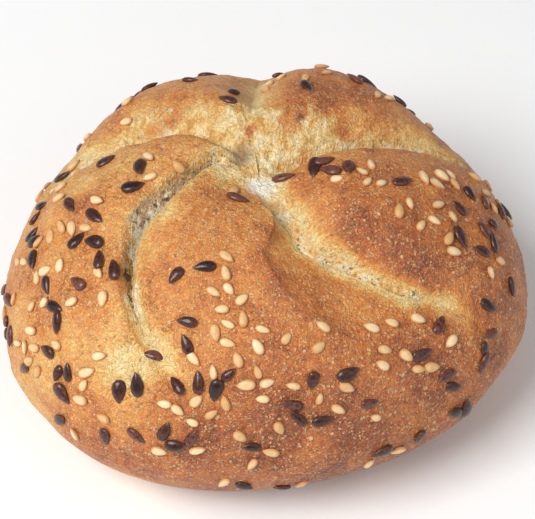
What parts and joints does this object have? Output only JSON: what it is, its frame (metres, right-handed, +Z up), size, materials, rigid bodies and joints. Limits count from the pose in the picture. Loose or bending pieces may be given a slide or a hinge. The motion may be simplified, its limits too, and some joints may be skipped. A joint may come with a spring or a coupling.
{
  "type": "bread roll",
  "caption": "Round domed bread roll with curved cuts running out from its middle like a star, its crust sprinkled with sesame seeds and linseeds, resting on a flat base.",
  "frame": {"origin": "middle of the roll's outline seen from above, at table level", "axes": "+Z up from the flat base to the star of cuts; +X to the right and +Y to the back of the roll as the picture shows it"},
  "size_m": [0.1126, 0.1014, 0.0589],
  "materials": {
    "crust": "golden brown baked crust with paler torn cuts",
    "sesame_seed": "cream hulled sesame, satin",
    "linseed": "dark brown linseed, glossy"
  },
  "bodies": {
    "root": {"seeded_roll": "crust"}
  },
  "joints": []
}
